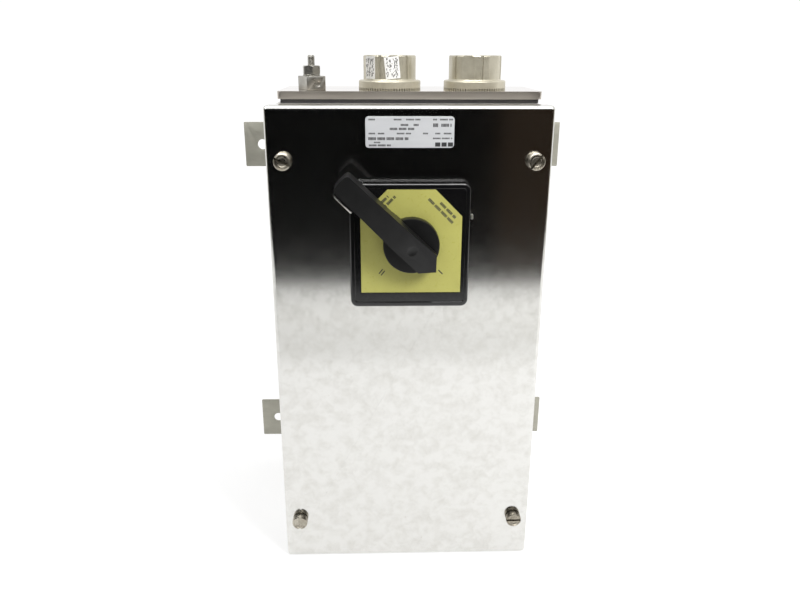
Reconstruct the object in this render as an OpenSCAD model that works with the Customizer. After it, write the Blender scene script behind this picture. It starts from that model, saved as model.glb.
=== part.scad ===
// Wall-mounted rotary control switch in a folded stainless-steel enclosure.
// Origin: centre of the four foot holes, on the wall plane (y = 0).
// +Z points up towards the conduit hubs, the cover faces -Y, all sizes in millimetres.

/* [Enclosure] */
// Width of the body
body_w = 210; // [206:1:220]
// Height of the body
body_h = 387; // [384:1:410]
// Depth of the body, from its back panel to its front rim
body_d = 150; // [144:0.5:160]
// Thickness of the folded sheet of body and cover
sheet = 1.5; // [1.2:0.1:2]
// Corner radius of the folded body and cover
corner_r = 3; // [2.5:0.5:5]
// Width of the flange folded in along the front rim
rim_w = 20; // [19:0.5:21]
// Height of the sealing upstand along the flange's inner edge
rim_up = 11; // [9:0.5:11]

/* [Cover] */
// How far the cover's edge overhangs the body on each side
cover_over = 1.5; // [0:0.5:2]
// Depth of the cover's folded edge
cover_d = 18; // [17:0.5:22]
// Seam between the cover's folded edge and the body's rim
seam = 1.5; // [1:0.5:2]
// Sideways distance from the middle to the cover screws
screw_x = 93.5; // [93:0.1:95]
// Height of the upper cover screws
screw_top_z = 155.4; // [140:0.1:164]
// Height of the lower cover screws
screw_low_z = -156.4; // [-164:0.1:-140]
// Diameter of the knurled screw heads
screw_head_d = 13; // [12:0.5:16]

/* [Wall feet] */
// Sideways spacing of the foot holes
foot_x = 269; // [262:1:280]
// Vertical spacing of the foot holes
foot_z = 294; // [260:1:310]
// Height of one foot
foot_h = 42; // [30:1:50]
// Thickness of one foot
foot_t = 2; // [1.5:0.5:3]
// Diameter of a foot hole
foot_hole_d = 9.5; // [7:0.5:11]

/* [Gland plate] */
// Length of the gland plate
plate_l = 208; // [204:1:208]
// Depth of the gland plate, front to back
plate_w = 84; // [82:1:88]
// Thickness of the gland plate
plate_t = 6; // [4:0.5:8]
// Thickness of the gasket under the gland plate
plate_seal_t = 3; // [2:0.5:3]

/* [Conduit hubs] */
// Sideways places of the two hubs
hub_places = [-13.5, 57.5];
// Diameter of a hub's collar
collar_d = 51.4; // [48:0.2:52]
// Height of a hub's collar
collar_h = 7; // [6:0.5:9]
// Diameter of a hub's body
hub_d = 43.2; // [40:0.1:44]
// Height of a hub above the gland plate
hub_h = 26.5; // [22:0.5:30]
// Diameter of the threaded mouth
mouth_d = 32; // [28:0.5:33]

/* [Rotary switch] */
// Sideways place of the switch axis
knob_x = 1; // [-5:0.5:5]
// Height of the switch axis
knob_z = 96; // [80:1:106]
// Width of the bezel
bezel_w = 91; // [88:1:96]
// Height of the bezel
bezel_h = 96; // [92:1:100]
// Thickness of the bezel
bezel_t = 15; // [13:1:16]
// Diameter of the handle's disc
disc_d = 42; // [38:1:46]
// Width of the lever bar
lever_w = 19; // [16:0.5:20]
// Distance from the axis to the lever's far end
lever_reach = 72; // [71:0.5:76]
// Stroke of the contact bridges
stroke = 2.5; // [2:0.1:2.5]

/* [Hidden] */
$fn = 64;

// Main planes along Y, from the wall to the cover's face
body_back = -foot_t;
rim_y = body_back - body_d;
cover_edge_y = rim_y - seam;
face_y = cover_edge_y - cover_d;
inner_face_y = face_y + sheet;
upstand_y = rim_y - rim_up;
floor_y = body_back - sheet;

// Cover outline and the opening inside the rim
cover_w = body_w + 2 * cover_over;
cover_h = body_h + 2 * cover_over;
open_w = body_w - 2 * rim_w;
open_h = body_h - 2 * rim_w;
cover_seal_w = 7;
screw_places = [[-screw_x, screw_top_z], [screw_x, screw_top_z],
                [-screw_x, screw_low_z], [screw_x, screw_low_z]];
screw_r = 2.95;
boss_bore_r = 3;
boss_d = 11;
boss_l = 15;

// Gland plate on the top wall
top_z = body_h / 2;
plate_x = 2;
plate_front_y = face_y + 48;
plate_mid_y = plate_front_y + plate_w / 2;
plate_low_z = top_z + plate_seal_t;
plate_top_z = plate_low_z + plate_t;
cut_l = plate_l - 25;
cut_w = plate_w - 16;
stud_r = 2;
stud_places = [for (i = [-1:1]) for (j = [-1, 1])
  [plate_x + i * (plate_l / 2 - 8.5), plate_mid_y + j * (plate_w / 2 - 5)]];

// Hubs and earth terminal on the gland plate
hub_y = face_y + 91;
nipple_r = 16.5;
hub_bore_r = 13.5;
locknut_af = 44;
locknut_t = 5;
earth_x = -77;
earth_y = face_y + 77;
earth_r = 3;
earth_shank_r = 3.2;
earth_block_s = 17;
earth_block_h = 10.5;
earth_nut_af = 13;
earth_nut_h = 6.8;
earth_washer_t = 1.2;
earth_free = 8;

// Mounting rails
rail_h = 35;
rail_d = 7.5;
rail_t = 1;
rail_l = 160;
standoff_h = 10;
rail_back_y = floor_y - standoff_h;
rail_front_y = rail_back_y - rail_d;
rail_hole_x = 60;
lower_rail_z = -70;

// Rotary switch body, stacked towards the cover
deck_s = 62;
deck_t = 14;
base_t = 12;
front_t = 8;
base_front_y = rail_front_y - base_t;
stack_front_y = base_front_y - 3 * deck_t;
front_plate_y = stack_front_y - front_t;
nose_y = front_plate_y - 10;
deck_mids = [for (i = [0:2]) base_front_y - (i + 0.5) * deck_t];
cam_r = 12;
core_r = 7;
pivot_r = 4.95;
run_gap = 0.05;
deck_bore_r = 16;
upper_gap = 0.9;
lower_gap = 0.4;
closed_z = 22;
bridge_t = 1.5;
bridge_w = 24;
contact_gap = 0.1;
spring_end_z = 30;
upper_tip_z = cam_r + stroke + upper_gap;
lower_tip_z = cam_r - stroke + lower_gap;
square_s = 7;
square_hole = 7.15;
square_end_y = -60;

// Terminal blocks on the lower rail
terminal_w = 8;
terminal_h = 42;
terminal_d = 40;
terminal_pitch = 8.2;
terminal_x0 = -20;

// Bezel, legend plate and handle, measured outwards from the cover's face
bezel_r = 6;
legend_w = 75.4;
legend_h = 79;
legend_dz = 1.3;
bezel_dx = -1;
bezel_dz = -2.3;
legend_t = 1;
legend_cut = 20;
recess = 1.2;
bush_r = 11;
bush_in = 10;
bush_out = 13;
journal_r = 6;
handle_gap = 0.3;
disc_h = 7.2;
lever_low = bezel_t + 3;
lever_far_low = 23;
lever_far_w = 14.6;
lever_far_top = 44;
lever_tip_top = 29;
tip_reach = 25.5;
clip_near = 50;
clip_far = 68;
clip_t = 1.3;
clip_w = 6;
clip_low = 26;
clip_stand = 1.4;
clip_leg = 13;
clip_depth = 15;
clip_slack = 0.4;

// ---- shared shapes ----

// Rectangle with round corners
module rounded(w, h, r) {
  square([w - 2 * r, h], center = true);
  square([w, h - 2 * r], center = true);
  for (x = [-1, 1], y = [-1, 1])
    translate([x * (w / 2 - r), y * (h / 2 - r)]) circle(r = r);
}

// Draws a 2D outline in the X-Z plane and gives it a thickness from y0 towards the front
module slab(y0, t) {
  translate([0, y0, 0]) rotate([90, 0, 0]) linear_extrude(t) children();
}

// Round bar along Y, from y0 towards the front
module bar_y(x, z, y0, l, r) {
  translate([x, y0, z]) rotate([90, 0, 0]) cylinder(r = r, h = l);
}

// Hexagon nut lying in the X-Y plane
module hex_nut(af, h, r) {
  difference() {
    cylinder(d = af / cos(30), h = h, $fn = 6);
    translate([0, 0, -1]) cylinder(r = r, h = h + 2);
  }
}

// Hollow frame between two rounded outlines
module frame_outline(w, h, wall, r) {
  difference() {
    rounded(w, h, r);
    square([w - 2 * wall, h - 2 * wall], center = true);
  }
}

// Places children on the switch axis
module at_knob() {
  translate([knob_x, 0, knob_z]) children();
}

// ---- enclosure ----

module enclosure_body() {
  color("silver")
  difference() {
    union() {
      difference() {
        slab(body_back, body_d) rounded(body_w, body_h, corner_r);
        slab(floor_y, body_d - 2 * sheet)
          rounded(body_w - 2 * sheet, body_h - 2 * sheet, corner_r - sheet);
        slab(floor_y, body_d) square([open_w - 2 * sheet, open_h - 2 * sheet], center = true);
      }
      slab(rim_y + sheet, rim_up + sheet) frame_outline(open_w, open_h, sheet, sheet);
    }
    translate([plate_x - cut_l / 2, plate_mid_y - cut_w / 2, top_z - 4]) cube([cut_l, cut_w, 8]);
    for (p = stud_places) translate([p[0], p[1], top_z - 4]) cylinder(r = stud_r, h = 8);
    for (p = screw_places) bar_y(p[0], p[1], rim_y + 3, 4, boss_d / 2);
  }
}

// One wall foot: side is -1 for left and 1 for right, level is -1 for low and 1 for high
module wall_foot(side, level) {
  reach = foot_x / 2 + 17;
  inner = body_w / 2 - 22;
  color("lightgray")
  difference() {
    translate([0, 0, level * foot_z / 2])
      slab(0, foot_t) translate([side * (reach + inner) / 2, 0]) rounded(reach - inner, foot_h, 1);
    bar_y(side * foot_x / 2, level * foot_z / 2, 1, foot_t + 2, foot_hole_d / 2);
  }
}

module foot_upper_left() { wall_foot(-1, 1); }
module foot_upper_right() { wall_foot(1, 1); }
module foot_lower_left() { wall_foot(-1, -1); }
module foot_lower_right() { wall_foot(1, -1); }

module cover_bosses() {
  color("gainsboro")
  for (p = screw_places)
    difference() {
      bar_y(p[0], p[1], rim_y + boss_l, boss_l, boss_d / 2);
      bar_y(p[0], p[1], rim_y + boss_l + 1, boss_l + 2, boss_bore_r);
    }
}

// ---- gland plate, hubs and earth terminal ----

module plate_outline(l, w, r) {
  translate([plate_x, plate_mid_y]) rounded(l, w, r);
}

module gland_gasket() {
  color("dimgray")
  difference() {
    translate([0, 0, top_z]) linear_extrude(plate_seal_t)
      difference() {
        plate_outline(plate_l - 4, plate_w - 4, 2);
        plate_outline(cut_l, cut_w, 1);
      }
    for (p = stud_places) translate([p[0], p[1], top_z - 1]) cylinder(r = stud_r, h = plate_seal_t + 2);
  }
}

module gland_plate() {
  color("slategray")
  difference() {
    translate([0, 0, plate_low_z]) linear_extrude(plate_t) plate_outline(plate_l, plate_w, 3);
    for (x = hub_places) translate([x, hub_y, plate_low_z - 1]) cylinder(r = nipple_r, h = plate_t + 2);
    translate([earth_x, earth_y, plate_low_z - 1]) cylinder(r = earth_shank_r, h = plate_t + 2);
    for (p = stud_places) translate([p[0], p[1], plate_low_z - 1]) cylinder(r = stud_r, h = 3);
  }
}

module gland_plate_studs() {
  stud_l = plate_seal_t + sheet + 7;
  color("silver")
  for (p = stud_places) translate([p[0], p[1], plate_low_z + 2 - stud_l]) cylinder(r = stud_r, h = stud_l);
}

module gland_plate_nuts() {
  color("silver")
  for (p = stud_places) translate([p[0], p[1], top_z - sheet - 3.2]) hex_nut(7, 3.2, stud_r);
}

module hub(x) {
  groove_w = 1.6;
  color("darkkhaki")
  difference() {
    translate([x, hub_y, 0]) union() {
      translate([0, 0, plate_top_z]) cylinder(d = collar_d, h = collar_h);
      translate([0, 0, plate_top_z]) cylinder(d = hub_d, h = hub_h);
      translate([0, 0, plate_top_z - 16]) cylinder(r = nipple_r, h = 16);
    }
    translate([x, hub_y, plate_top_z - 17]) cylinder(r = hub_bore_r, h = hub_h + 18);
    translate([x, hub_y, plate_top_z + 7]) cylinder(d = mouth_d, h = hub_h);
    translate([x, hub_y, plate_top_z - 1]) rotate_extrude()
      translate([nipple_r + 2, 0]) square([2.5, 3]);
    for (a = [0:60:300])
      translate([x, hub_y, 0]) rotate([0, 0, a + 12])
        translate([hub_d / 2 - 0.8, -groove_w / 2, plate_top_z + collar_h]) cube([3, groove_w, hub_h]);
  }
}

module hub_left() { hub(hub_places[0]); }
module hub_right() { hub(hub_places[1]); }

module hub_seals() {
  color("black")
  for (x = hub_places)
    translate([x, hub_y, plate_top_z]) rotate_extrude() translate([nipple_r + 2, 0]) square([2.5, 2]);
}

module hub_locknuts() {
  color("darkgray")
  for (x = hub_places)
    translate([x, hub_y, plate_low_z - locknut_t]) hex_nut(locknut_af, locknut_t, nipple_r);
}

// Stud with a clamped shank and a free end above the nut
module earth_stud() {
  shank_l = 9 + plate_t + earth_block_h + earth_washer_t + earth_nut_h;
  color("gainsboro")
  translate([earth_x, earth_y, plate_low_z - 9]) union() {
    cylinder(r = earth_shank_r, h = shank_l);
    cylinder(r = earth_r, h = shank_l + earth_free);
  }
}

module earth_block() {
  color("silver")
  translate([earth_x, earth_y, plate_top_z]) rotate([0, 0, 32])
    difference() {
      linear_extrude(earth_block_h) rounded(earth_block_s, earth_block_s, 1.2);
      translate([0, 0, -1]) cylinder(r = earth_shank_r, h = earth_block_h + 2);
    }
}

module earth_washer() {
  color("gainsboro")
  translate([earth_x, earth_y, plate_top_z + earth_block_h])
    difference() {
      cylinder(d = 14, h = earth_washer_t);
      translate([0, 0, -1]) cylinder(r = earth_shank_r, h = 4);
    }
}

module earth_nut() {
  color("silver")
  translate([earth_x, earth_y, plate_top_z + earth_block_h + earth_washer_t]) rotate([0, 0, 12])
    hex_nut(earth_nut_af, earth_nut_h, earth_shank_r);
}

module earth_inner_nut() {
  color("silver")
  translate([earth_x, earth_y, plate_low_z - 5]) hex_nut(10, 5, earth_shank_r);
}

// ---- rails ----

module rail_standoffs() {
  color("gainsboro")
  for (x = [-1, 1], z = [knob_z, lower_rail_z])
    difference() {
      bar_y(x * rail_hole_x, z, floor_y, standoff_h, 6);
      bar_y(x * rail_hole_x, z, floor_y - 3, standoff_h, 2.5);
    }
}

module rail_screws() {
  color("silver")
  for (x = [-1, 1], z = [knob_z, lower_rail_z]) {
    bar_y(x * rail_hole_x, z, floor_y - 3, standoff_h - 3 + rail_t, 2.5);
    bar_y(x * rail_hole_x, z, rail_back_y - rail_t, 3, 4.5);
  }
}

// Top-hat rail: web at the back, two flanges at the front
module rail(z) {
  web = rail_h - 10;
  color("lightsteelblue")
  difference() {
    translate([-rail_l / 2, 0, z]) union() {
      translate([0, rail_back_y - rail_t, -web / 2]) cube([rail_l, rail_t, web]);
      for (s = [-1, 1]) {
        translate([0, rail_front_y, s * (web - rail_t) / 2 - rail_t / 2]) cube([rail_l, rail_d, rail_t]);
        translate([0, rail_front_y, s * (rail_h / 2 - 3) - 3]) cube([rail_l, rail_t, 6]);
      }
    }
    for (x = [-1, 1]) bar_y(x * rail_hole_x, z, rail_back_y + 1, rail_t + 2, 2.5);
  }
}

module upper_rail() { rail(knob_z); }
module lower_rail() { rail(lower_rail_z); }

// ---- rotary switch ----

module rail_claws(half_h, w) {
  for (s = [-1, 1])
    translate([-w / 2, rail_front_y, s * (half_h + 1.6) - 1.5]) cube([w, 3, 3]);
}

module switch_base() {
  color("dimgray")
  at_knob() difference() {
    union() {
      slab(rail_front_y, base_t) rounded(deck_s, deck_s, 3);
      rail_claws(rail_h / 2, 30);
    }
    bar_y(0, 0, base_front_y + 8, 9, pivot_r + run_gap);
    tie_holes();
  }
}

tie_xz = [for (x = [-1, 1], z = [-1, 1]) [x * 26, z * 27]];

module tie_holes() {
  for (p = tie_xz) bar_y(p[0], p[1], rail_front_y - 2, 80, 1.75);
}

// Chambers for one plunger, its bridge and its spring; s is 1 for the upper side, -1 for the lower
module plunger_chamber(s) {
  w = 9;
  translate([-4.4, -w / 2, s > 0 ? 10 : -spring_end_z]) cube([8.8, w, spring_end_z - 10]);
  translate([-bridge_w / 2 - 1, -w / 2, s > 0 ? closed_z - 2.2 : -closed_z - 5.2])
    cube([bridge_w + 2, w, 7.4]);
}

// Slots where the four contact strips pass through a deck's sides
module strip_slots() {
  for (s = [-1, 1]) strip_pair(s);
}

module strip_pair(s) {
  low = closed_z - contact_gap - bridge_t;
  for (x = [-1, 1])
    translate([x > 0 ? 7.5 : -36.5, -3, s > 0 ? low : -low - bridge_t]) cube([29, 6, bridge_t]);
}

module switch_deck(i) {
  color(i == 1 ? "darkslategray" : "dimgray")
  at_knob() difference() {
    slab(base_front_y - i * deck_t, deck_t) rounded(deck_s, deck_s, 3);
    bar_y(0, 0, base_front_y - i * deck_t + 1, deck_t + 2, deck_bore_r);
    translate([0, deck_mids[i], 0]) {
      plunger_chamber(1);
      plunger_chamber(-1);
      strip_slots();
    }
    tie_holes();
  }
}

module switch_deck_1() { switch_deck(0); }
module switch_deck_2() { switch_deck(1); }
module switch_deck_3() { switch_deck(2); }

module switch_front_plate() {
  color("gray")
  at_knob() difference() {
    slab(stack_front_y, front_t) rounded(deck_s, deck_s, 3);
    bar_y(0, 0, stack_front_y + 1, front_t + 2, core_r + run_gap);
    tie_holes();
  }
}

module tie_screws() {
  color("silver")
  at_knob() for (p = tie_xz) {
    bar_y(p[0], p[1], rail_front_y - 2, front_plate_y * -1 + rail_front_y - 2, 1.75);
    bar_y(p[0], p[1], front_plate_y, 2.5, 3);
  }
}

module fixed_contacts() {
  color("goldenrod")
  at_knob() for (y = deck_mids, s = [-1, 1])
    difference() {
      translate([0, y, 0]) strip_pair(s);
      for (x = [-1, 1]) translate([x * 33.8, y, -50]) cylinder(r = 1.5, h = 100);
    }
}

module contact_screws() {
  low = closed_z - contact_gap;
  color("silver")
  at_knob() for (y = deck_mids, x = [-1, 1], s = [-1, 1])
    translate([x * 33.8, y, s * low]) rotate([s > 0 ? 0 : 180, 0, 0]) union() {
      cylinder(d = 4.6, h = 2.2);
      translate([0, 0, -4]) cylinder(r = 1.5, h = 4.1);
    }
}

module cam_rotor() {
  color("ivory")
  at_knob() difference() {
    union() {
      bar_y(0, 0, base_front_y + 7.5, 8, pivot_r);
      bar_y(0, 0, base_front_y - 0.2, base_front_y - nose_y - 0.2, core_r);
      for (y = deck_mids) bar_y(0, stroke, y + 4, 8, cam_r);
    }
    slab(square_end_y + 3, 60) square([square_hole, square_hole], center = true);
  }
}

// A plunger follows its cam with a flat tip and carries one bridge
module plunger(s, tip, seat) {
  w = 6;
  translate([-4, -w / 2, s > 0 ? tip : -seat]) cube([8, w, seat - tip]);
}

module upper_plungers() {
  color("khaki")
  at_knob() for (y = deck_mids) translate([0, y, 0]) plunger(1, upper_tip_z, closed_z + stroke);
}

module lower_plungers() {
  color("khaki")
  at_knob() for (y = deck_mids) translate([0, y, 0]) plunger(-1, lower_tip_z, closed_z);
}

module bridge(low) {
  translate([-bridge_w / 2, -2.5, low]) cube([bridge_w, 5, bridge_t]);
}

module upper_bridges() {
  color("orange")
  at_knob() for (y = deck_mids) translate([0, y, 0]) bridge(closed_z + stroke);
}

module lower_bridges() {
  color("orange")
  at_knob() for (y = deck_mids) translate([0, y, 0]) bridge(-closed_z - bridge_t);
}

module spring_sleeve(z0, z1) {
  translate([0, 0, z0]) difference() {
    cylinder(r = 3, h = z1 - z0);
    translate([0, 0, -1]) cylinder(r = 2.2, h = z1 - z0 + 2);
  }
}

module upper_springs() {
  color("silver")
  at_knob() for (y = deck_mids)
    translate([0, y, 0]) spring_sleeve(closed_z + stroke + bridge_t, spring_end_z);
}

module lower_springs() {
  color("silver")
  at_knob() for (y = deck_mids) translate([0, y, 0]) spring_sleeve(-spring_end_z, -closed_z - bridge_t);
}

// ---- terminal blocks ----

module terminal_body(x, w) {
  difference() {
    translate([x - w / 2, rail_front_y - terminal_d, lower_rail_z - terminal_h / 2])
      cube([w, terminal_d, terminal_h]);
    for (s = [-1, 1])
      bar_y(x, lower_rail_z + s * 14, rail_front_y - terminal_d + 10, 11, 2.4);
  }
}

module terminal(i) {
  color("beige") terminal_body(terminal_x0 + i * terminal_pitch, terminal_w);
}

module terminal_1() { terminal(0); }
module terminal_2() { terminal(1); }
module terminal_3() { terminal(2); }
module terminal_4() { terminal(3); }

module earth_terminal() {
  color("olivedrab") terminal_body(terminal_x0 + 4 * terminal_pitch, terminal_w);
}

module terminal_screws() {
  color("silver")
  for (i = [0:4], s = [-1, 1])
    bar_y(terminal_x0 + i * terminal_pitch, lower_rail_z + s * 14, rail_front_y - terminal_d + 10, 8, 2.4);
}

module end_clamps() {
  gap = terminal_w / 2 + 4.7;
  color("lightgray")
  for (x = [terminal_x0 - gap, terminal_x0 + 4 * terminal_pitch + gap])
    translate([x - 4.5, rail_front_y - 28, lower_rail_z - 19]) cube([9, 28, 38]);
}

// ---- cover ----

module cover_shell() {
  color("gainsboro")
  difference() {
    slab(cover_edge_y, cover_d) rounded(cover_w, cover_h, corner_r);
    slab(cover_edge_y + 1, cover_d - sheet + 1)
      rounded(cover_w - 2 * sheet, cover_h - 2 * sheet, corner_r - sheet);
    for (p = screw_places) bar_y(p[0], p[1], inner_face_y + 1, sheet + 2, screw_r);
    at_knob() bar_y(0, 0, inner_face_y + 1, sheet + 2, bush_r);
    at_knob() for (p = bezel_screw_places) bar_y(p[0], p[1], inner_face_y + 1, sheet + 2, 2);
  }
}

module cover_gasket() {
  color("black")
  slab(upstand_y, upstand_y - inner_face_y)
    frame_outline(open_w + cover_seal_w - sheet, open_h + cover_seal_w - sheet, cover_seal_w, 2);
}

// Slotted screw with a round head, kept in the cover by a retainer
module cover_screw(p, slot_deg) {
  head_h = 5.2;
  collar = 1.2;
  difference() {
    union() {
      bar_y(p[0], p[1], face_y, collar, screw_head_d / 2 - 1.6);
      bar_y(p[0], p[1], face_y - collar, head_h, screw_head_d / 2);
      bar_y(p[0], p[1], rim_y + 10, rim_y + 10 - face_y, screw_r);
    }
    translate([p[0], face_y - collar - head_h, p[1]]) rotate([0, slot_deg, 0])
      cube([screw_head_d + 2, 4, 1.8], center = true);
  }
}

module cover_screws() {
  slot_degs = [25, -50, 90, 0];
  color("silver")
  for (i = [0:3]) cover_screw(screw_places[i], slot_degs[i]);
}

module screw_retainers() {
  color("dimgray")
  for (p = screw_places)
    difference() {
      bar_y(p[0], p[1], inner_face_y + 1.2, 1.2, 4.4);
      bar_y(p[0], p[1], inner_face_y + 2, 3, screw_r);
    }
}

module nameplate() {
  color("lightgray")
  translate([0, 0, 176.3]) slab(face_y, 0.8) rounded(65, 22.5, 2.5);
}

bezel_screw_places = [for (x = [-1, 1], z = [-1, 1]) [bezel_dx + x * 39.5, bezel_dz + z * 42]];

module legend_outline(grow) {
  w = legend_w / 2 + grow;
  h = legend_h / 2 + grow;
  translate([0, legend_dz])
    polygon([[-w, -h], [w, -h], [w, h - legend_cut], [w - legend_cut, h],
             [-w + legend_cut, h], [-w, h - legend_cut]]);
}

module switch_bezel() {
  color("black")
  at_knob() difference() {
    translate([bezel_dx, 0, bezel_dz]) slab(face_y - 1, bezel_t - 1) rounded(bezel_w, bezel_h, bezel_r);
    slab(face_y - bezel_t + recess, recess + 1) legend_outline(0.3);
    bar_y(0, 0, face_y + 1, bezel_t + 2, bush_r);
    for (p = bezel_screw_places) bar_y(p[0], p[1], face_y + 1, 10, 2);
  }
}

module bezel_gasket() {
  color("dimgray")
  at_knob() difference() {
    translate([bezel_dx, 0, bezel_dz]) slab(face_y, 1) rounded(bezel_w - 1, bezel_h - 1, bezel_r);
    bar_y(0, 0, face_y + 1, 3, bush_r);
    for (p = bezel_screw_places) bar_y(p[0], p[1], face_y + 1, 3, 2);
  }
}

module bezel_screws() {
  color("silver")
  at_knob() for (p = bezel_screw_places) {
    bar_y(p[0], p[1], inner_face_y, sheet + 8, 2);
    bar_y(p[0], p[1], inner_face_y + 2.6, 2.6, 3.6);
  }
}

module bezel_lug() {
  color("silver")
  translate([knob_x + bezel_dx + bezel_w / 2, face_y - 10, 113.5]) cube([2, 4, 3.6]);
}

module legend_plate() {
  color("khaki")
  at_knob() difference() {
    slab(face_y - bezel_t + recess, legend_t) legend_outline(0);
    bar_y(0, 0, face_y, bezel_t + 2, bush_r);
  }
}

module shaft_bush() {
  color("slategray")
  at_knob() difference() {
    bar_y(0, 0, face_y + bush_in, bush_in + bush_out, bush_r);
    bar_y(0, 0, face_y + bush_in + 1, bush_in + bush_out + 2, journal_r + run_gap);
  }
}

module bush_nut() {
  color("silver")
  at_knob() translate([0, inner_face_y, 0]) rotate([-90, 0, 0]) hex_nut(28, 5, bush_r);
}

// ---- handle ----

// Turns the lever's own long axis (+X) into its place: pointer down to the right
module along_lever() {
  at_knob() rotate([0, 45, 0]) children();
}

// Plan outline of the bar: pointer at +X, narrower towards its far end at -X
module lever_plan(w) {
  shoulder = tip_reach - w / 2;
  far = lever_reach + 1;
  polygon([[-far, -lever_far_w / 2], [shoulder, -w / 2], [tip_reach, 0],
           [shoulder, w / 2], [-far, lever_far_w / 2]]);
}

// Side outline of the bar, heights measured out from the cover's face
module lever_side() {
  polygon([[-lever_reach - 1, lever_far_low], [-disc_d / 2 - 8, lever_far_low],
           [-disc_d / 2, lever_low], [0, bezel_t + 1],
           [tip_reach + 1, lever_low], [tip_reach + 1, lever_tip_top], [-12, 39],
           [-lever_reach - 1, lever_far_top]]);
}

module lever_bar() {
  intersection() {
    slab(face_y - lever_low + 3, 60) lever_plan(lever_w);
    bar_y(0, 0, face_y - lever_low + 4, 62, lever_reach);
    translate([0, face_y, -30]) linear_extrude(60) mirror([0, 1]) lever_side();
  }
}

module clip_pocket() {
  translate([-clip_far - clip_slack, face_y - clip_low - clip_w - clip_slack, -lever_w / 2 - 1])
    cube([clip_far - clip_near + 2 * clip_slack, clip_w + 2 * clip_slack, clip_depth]);
}

module handle_lever() {
  disc_low = bezel_t + handle_gap;
  color("darkslategray")
  along_lever() difference() {
    union() {
      lever_bar();
      bar_y(0, 0, face_y - disc_low, disc_h, disc_d / 2);
    }
    bar_y(0, 0, face_y - bezel_t + 1, 16, journal_r);
    clip_pocket();
  }
}

module handle_shaft() {
  journal_end_y = face_y + bush_in + 2;
  color("silver")
  at_knob() union() {
    bar_y(0, 0, journal_end_y, journal_end_y - face_y + bezel_t + 15, journal_r);
    slab(square_end_y, square_end_y - journal_end_y) square([square_s, square_s], center = true);
  }
}

// Hairpin strip: a bar outside the handle, bent back at the far end into a leg and a guide
module lock_clip() {
  outer_z = -lever_w / 2 - clip_stand - clip_t;
  y = face_y - clip_low - clip_w;
  color("silver")
  along_lever() {
    translate([-clip_far, y, outer_z]) cube([clip_far - clip_near, clip_w, clip_t]);
    translate([-clip_far, y, outer_z]) cube([clip_t, clip_w, clip_depth]);
    translate([-clip_far, y, -lever_w / 2 + clip_t]) cube([clip_leg, clip_w, clip_t]);
  }
}

enclosure_body();
foot_upper_left();
foot_upper_right();
foot_lower_left();
foot_lower_right();
cover_bosses();
gland_gasket();
gland_plate();
gland_plate_studs();
gland_plate_nuts();
hub_left();
hub_right();
hub_seals();
hub_locknuts();
earth_stud();
earth_block();
earth_washer();
earth_nut();
earth_inner_nut();
rail_standoffs();
rail_screws();
upper_rail();
lower_rail();
switch_base();
switch_deck_1();
switch_deck_2();
switch_deck_3();
switch_front_plate();
tie_screws();
fixed_contacts();
contact_screws();
cam_rotor();
upper_plungers();
lower_plungers();
upper_bridges();
lower_bridges();
upper_springs();
lower_springs();
terminal_1();
terminal_2();
terminal_3();
terminal_4();
earth_terminal();
terminal_screws();
end_clamps();
cover_shell();
cover_gasket();
cover_screws();
screw_retainers();
nameplate();
switch_bezel();
bezel_gasket();
bezel_screws();
bezel_lug();
legend_plate();
shaft_bush();
bush_nut();
handle_lever();
handle_shaft();
lock_clip();
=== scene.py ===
import math
import random

import bmesh
import bpy
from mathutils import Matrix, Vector


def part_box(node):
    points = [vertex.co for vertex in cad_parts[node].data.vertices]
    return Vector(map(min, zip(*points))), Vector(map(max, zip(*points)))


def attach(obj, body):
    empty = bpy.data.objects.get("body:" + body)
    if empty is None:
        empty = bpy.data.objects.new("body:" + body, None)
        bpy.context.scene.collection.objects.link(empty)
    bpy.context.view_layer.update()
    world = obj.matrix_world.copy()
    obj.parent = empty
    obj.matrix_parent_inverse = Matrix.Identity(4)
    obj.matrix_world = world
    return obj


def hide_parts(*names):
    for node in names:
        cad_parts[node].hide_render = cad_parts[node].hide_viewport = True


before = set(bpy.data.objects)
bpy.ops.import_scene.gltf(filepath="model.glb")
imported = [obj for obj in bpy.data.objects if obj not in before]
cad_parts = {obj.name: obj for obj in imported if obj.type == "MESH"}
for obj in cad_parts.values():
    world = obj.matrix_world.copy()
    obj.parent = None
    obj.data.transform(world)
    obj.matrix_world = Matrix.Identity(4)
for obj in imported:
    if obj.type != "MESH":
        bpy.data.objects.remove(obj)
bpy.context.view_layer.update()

# ---- Camera ----
# The eye is a little above the enclosure's top, just left of its middle, looking down at it.
# The lens is a normal one for a small product set.
FACE_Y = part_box("cover_shell")[0].y
camera_data = bpy.data.cameras.new("camera")
camera_data.sensor_width = 36.0
camera_data.lens = 32.4
camera = bpy.data.objects.new("camera", camera_data)
camera.location = (-0.0218, FACE_Y - 0.5367, 0.2327)
camera.rotation_euler = [math.radians(a) for a in (70.88, -0.18, -1.54)]
bpy.context.scene.collection.objects.link(camera)
bpy.context.scene.camera = camera

# ---- Floor, room and light ----
# A white table in a white room, a little dimmer towards its far end. In front of the set the
# room is dark, and only the polished steel sees it. One soft key and one long strip light it.
FLOOR_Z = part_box("cover_shell")[0].z
ROOM_Y = FACE_Y - 0.62
ROOM_LOW = -0.141
ROOM_HIGH = 0.47


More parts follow.
